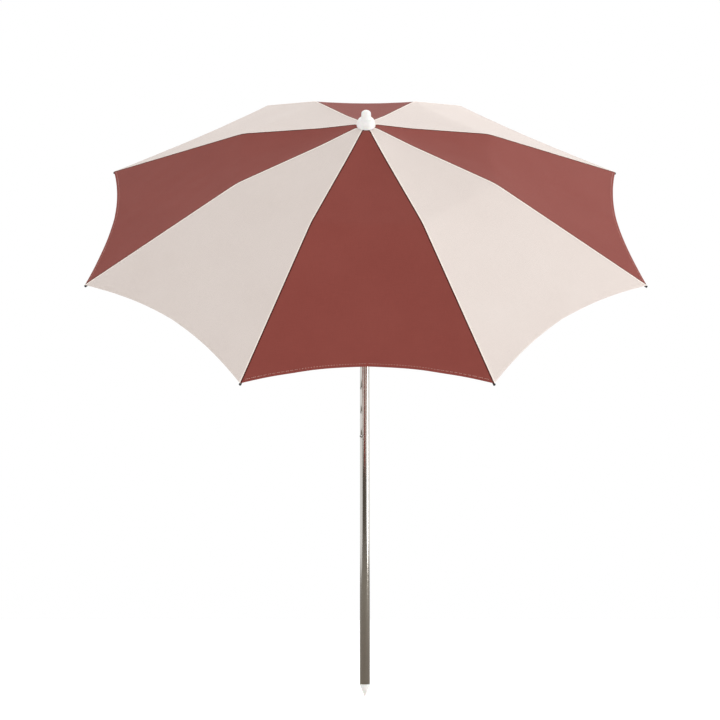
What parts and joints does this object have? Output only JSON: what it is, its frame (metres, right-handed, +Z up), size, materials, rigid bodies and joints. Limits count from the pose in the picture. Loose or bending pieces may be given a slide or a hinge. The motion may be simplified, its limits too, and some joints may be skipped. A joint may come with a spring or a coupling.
{
  "type": "beach umbrella",
  "caption": "Tilted beach umbrella on a steel telescoping pole with a spike; a scalloped canopy in alternating terracotta and cream gores folds on hinged ribs and stretchers.",
  "frame": {"origin": "tip of the spike, on the pole's axis", "axes": "+Z up along the pole; the open canopy leans towards -Y; +X to the right when facing the leaning side"},
  "size_m": [1.6844, 1.1933, 2.0689],
  "materials": {
    "terracotta_cloth": "woven canopy cloth, terracotta, matt, plain weave",
    "cream_cloth": "woven canopy cloth, cream with a pinkish cast, matt, plain weave",
    "steel": "satin plated steel tube with fine drawing lines",
    "bright_steel": "zinc plated pressed steel",
    "spring_steel": "polished spring steel",
    "rib_fibre": "dark pultruded glass fibre rod, satin",
    "dark_tip": "dark grey moulded plastic",
    "white_plastic": "white moulded plastic, slightly glossy"
  },
  "bodies": {
    "lower_pole": {"spike": "white_plastic", "lower_pole": "steel", "pole_collar": "white_plastic"},
    "middle_pole": {"middle_pole": "steel", "middle_pole_plug": "white_plastic", "tilt_fork": "white_plastic", "tilt_pin": "spring_steel"},
    "snap_button": {"snap_button": "spring_steel"},
    "mast": {"tilt_knuckle": "white_plastic", "mast": "steel", "mast_plug": "white_plastic", "hub": "white_plastic", "hub_wire": "spring_steel", "canopy_washer": "white_plastic", "finial": "white_plastic"},
    "tilt_button": {"tilt_button": "spring_steel"},
    "runner_catch": {"runner_catch": "spring_steel"},
    "runner": {"runner": "white_plastic", "runner_wire": "spring_steel"},
    "rib_1": {"rib_1": "rib_fibre", "rib_clip_1": "bright_steel", "rib_tip_1": "dark_tip", "canopy_panel_1": "cream_cloth"},
    "stretcher_1": {"stretcher_1": "bright_steel"},
    "rib_2": {"rib_2": "rib_fibre", "rib_clip_2": "bright_steel", "rib_tip_2": "dark_tip", "canopy_panel_2": "terracotta_cloth"},
    "stretcher_2": {"stretcher_2": "bright_steel"},
    "rib_3": {"rib_3": "rib_fibre", "rib_clip_3": "bright_steel", "rib_tip_3": "dark_tip", "canopy_panel_3": "cream_cloth"},
    "stretcher_3": {"stretcher_3": "bright_steel"},
    "rib_4": {"rib_4": "rib_fibre", "rib_clip_4": "bright_steel", "rib_tip_4": "dark_tip", "canopy_panel_4": "terracotta_cloth"},
    "stretcher_4": {"stretcher_4": "bright_steel"},
    "rib_5": {"rib_5": "rib_fibre", "rib_clip_5": "bright_steel", "rib_tip_5": "dark_tip", "canopy_panel_5": "cream_cloth"},
    "stretcher_5": {"stretcher_5": "bright_steel"},
    "rib_6": {"rib_6": "rib_fibre", "rib_clip_6": "bright_steel", "rib_tip_6": "dark_tip", "canopy_panel_6": "terracotta_cloth"},
    "stretcher_6": {"stretcher_6": "bright_steel"},
    "rib_7": {"rib_7": "rib_fibre", "rib_clip_7": "bright_steel", "rib_tip_7": "dark_tip", "canopy_panel_7": "cream_cloth"},
    "stretcher_7": {"stretcher_7": "bright_steel"},
    "rib_8": {"rib_8": "rib_fibre", "rib_clip_8": "bright_steel", "rib_tip_8": "dark_tip", "canopy_panel_8": "terracotta_cloth"},
    "stretcher_8": {"stretcher_8": "bright_steel"}
  },
  "joints": [
    {"name": "pole_slide", "type": "slide", "parent": "lower_pole", "child": "middle_pole", "axis": [0, 0, 1], "range_m": [0, 0.16]},
    {"name": "snap_press", "type": "slide", "parent": "middle_pole", "child": "snap_button", "axis": [0.7431, 0.6691, 0], "range_m": [0, 0.0065], "stiffness_N_per_m": 600, "springref_m": -0.004, "deforming": ["snap_button"]},
    {"name": "tilt", "type": "hinge", "parent": "middle_pole", "child": "mast", "pos_m": [0, 0, 1.151], "axis": [1, 0, 0], "range_deg": [-45, 0]},
    {"name": "tilt_press", "type": "slide", "parent": "mast", "child": "tilt_button", "axis": [-1, 0, 0], "range_m": [0, 0.006], "stiffness_N_per_m": 600, "springref_m": -0.003, "deforming": ["tilt_button"]},
    {"name": "catch_press", "type": "slide", "parent": "mast", "child": "runner_catch", "axis": [-1, 0, 0], "range_m": [0, 0.005], "stiffness_N_per_m": 600, "springref_m": -0.004, "deforming": ["runner_catch"]},
    {"name": "rib_1_fold", "type": "hinge", "parent": "mast", "child": "rib_1", "pos_m": [0.00995, -0.58267, 1.6997], "axis": [0.9239, 0.2706, 0.2706], "range_deg": [0, 66], "deforming": ["canopy_panel_1"]},
    {"name": "stretcher_1_fold", "type": "hinge", "parent": "rib_1", "child": "stretcher_1", "pos_m": [0.14952, -0.74525, 1.38574], "axis": [-0.9239, -0.2706, -0.2706], "range_deg": [0, 132]},
    {"name": "rib_2_fold", "type": "hinge", "parent": "mast", "child": "rib_2", "pos_m": [0.02402, -0.57272, 1.70965], "axis": [0.3827, 0.6533, 0.6533], "range_deg": [0, 66], "deforming": ["canopy_panel_2"]},
    {"name": "stretcher_2_fold", "type": "hinge", "parent": "rib_2", "child": "stretcher_2", "pos_m": [0.36098, -0.59572, 1.53526], "axis": [-0.3827, -0.6533, -0.6533], "range_deg": [0, 132]},
    {"name": "rib_3_fold", "type": "hinge", "parent": "mast", "child": "rib_3", "pos_m": [0.02402, -0.55865, 1.72372], "axis": [-0.3827, 0.6533, 0.6533], "range_deg": [0, 66], "deforming": ["canopy_panel_3"]},
    {"name": "stretcher_3_fold", "type": "hinge", "parent": "rib_3", "child": "stretcher_3", "pos_m": [0.36098, -0.38426, 1.74672], "axis": [0.3827, -0.6533, -0.6533], "range_deg": [0, 132]},
    {"name": "rib_4_fold", "type": "hinge", "parent": "mast", "child": "rib_4", "pos_m": [0.00995, -0.5487, 1.73367], "axis": [-0.9239, 0.2706, 0.2706], "range_deg": [0, 66], "deforming": ["canopy_panel_4"]},
    {"name": "stretcher_4_fold", "type": "hinge", "parent": "rib_4", "child": "stretcher_4", "pos_m": [0.14952, -0.23474, 1.89625], "axis": [0.9239, -0.2706, -0.2706], "range_deg": [0, 132]},
    {"name": "rib_5_fold", "type": "hinge", "parent": "mast", "child": "rib_5", "pos_m": [-0.00995, -0.5487, 1.73367], "axis": [-0.9239, -0.2706, -0.2706], "range_deg": [0, 66], "deforming": ["canopy_panel_5"]},
    {"name": "stretcher_5_fold", "type": "hinge", "parent": "rib_5", "child": "stretcher_5", "pos_m": [-0.14952, -0.23474, 1.89625], "axis": [0.9239, 0.2706, 0.2706], "range_deg": [0, 132]},
    {"name": "rib_6_fold", "type": "hinge", "parent": "mast", "child": "rib_6", "pos_m": [-0.02402, -0.55865, 1.72372], "axis": [-0.3827, -0.6533, -0.6533], "range_deg": [0, 66], "deforming": ["canopy_panel_6"]},
    {"name": "stretcher_6_fold", "type": "hinge", "parent": "rib_6", "child": "stretcher_6", "pos_m": [-0.36098, -0.38426, 1.74672], "axis": [0.3827, 0.6533, 0.6533], "range_deg": [0, 132]},
    {"name": "rib_7_fold", "type": "hinge", "parent": "mast", "child": "rib_7", "pos_m": [-0.02402, -0.57272, 1.70965], "axis": [0.3827, -0.6533, -0.6533], "range_deg": [0, 66], "deforming": ["canopy_panel_7"]},
    {"name": "stretcher_7_fold", "type": "hinge", "parent": "rib_7", "child": "stretcher_7", "pos_m": [-0.36098, -0.59572, 1.53526], "axis": [-0.3827, 0.6533, 0.6533], "range_deg": [0, 132]},
    {"name": "rib_8_fold", "type": "hinge", "parent": "mast", "child": "rib_8", "pos_m": [-0.00995, -0.58267, 1.6997], "axis": [0.9239, -0.2706, -0.2706], "range_deg": [0, 66], "deforming": ["canopy_panel_8"]},
    {"name": "stretcher_8_fold", "type": "hinge", "parent": "rib_8", "child": "stretcher_8", "pos_m": [-0.14952, -0.74525, 1.38574], "axis": [-0.9239, 0.2706, 0.2706], "range_deg": [0, 132]},
    {"name": "runner_hinge", "type": "hinge", "parent": "stretcher_1", "child": "runner", "pos_m": [0.00995, -0.43129, 1.54832], "axis": [0.9239, 0.2706, 0.2706], "range_deg": [0, 66]}
  ],
  "couplings": [
    {"joint": "stretcher_1_fold", "follows": "rib_1_fold", "ratio": 2},
    {"joint": "rib_2_fold", "follows": "rib_1_fold", "ratio": 1},
    {"joint": "stretcher_2_fold", "follows": "rib_1_fold", "ratio": 2},
    {"joint": "rib_3_fold", "follows": "rib_1_fold", "ratio": 1},
    {"joint": "stretcher_3_fold", "follows": "rib_1_fold", "ratio": 2},
    {"joint": "rib_4_fold", "follows": "rib_1_fold", "ratio": 1},
    {"joint": "stretcher_4_fold", "follows": "rib_1_fold", "ratio": 2},
    {"joint": "rib_5_fold", "follows": "rib_1_fold", "ratio": 1},
    {"joint": "stretcher_5_fold", "follows": "rib_1_fold", "ratio": 2},
    {"joint": "rib_6_fold", "follows": "rib_1_fold", "ratio": 1},
    {"joint": "stretcher_6_fold", "follows": "rib_1_fold", "ratio": 2},
    {"joint": "rib_7_fold", "follows": "rib_1_fold", "ratio": 1},
    {"joint": "stretcher_7_fold", "follows": "rib_1_fold", "ratio": 2},
    {"joint": "rib_8_fold", "follows": "rib_1_fold", "ratio": 1},
    {"joint": "stretcher_8_fold", "follows": "rib_1_fold", "ratio": 2},
    {"joint": "runner_hinge", "follows": "rib_1_fold", "ratio": 1}
  ]
}
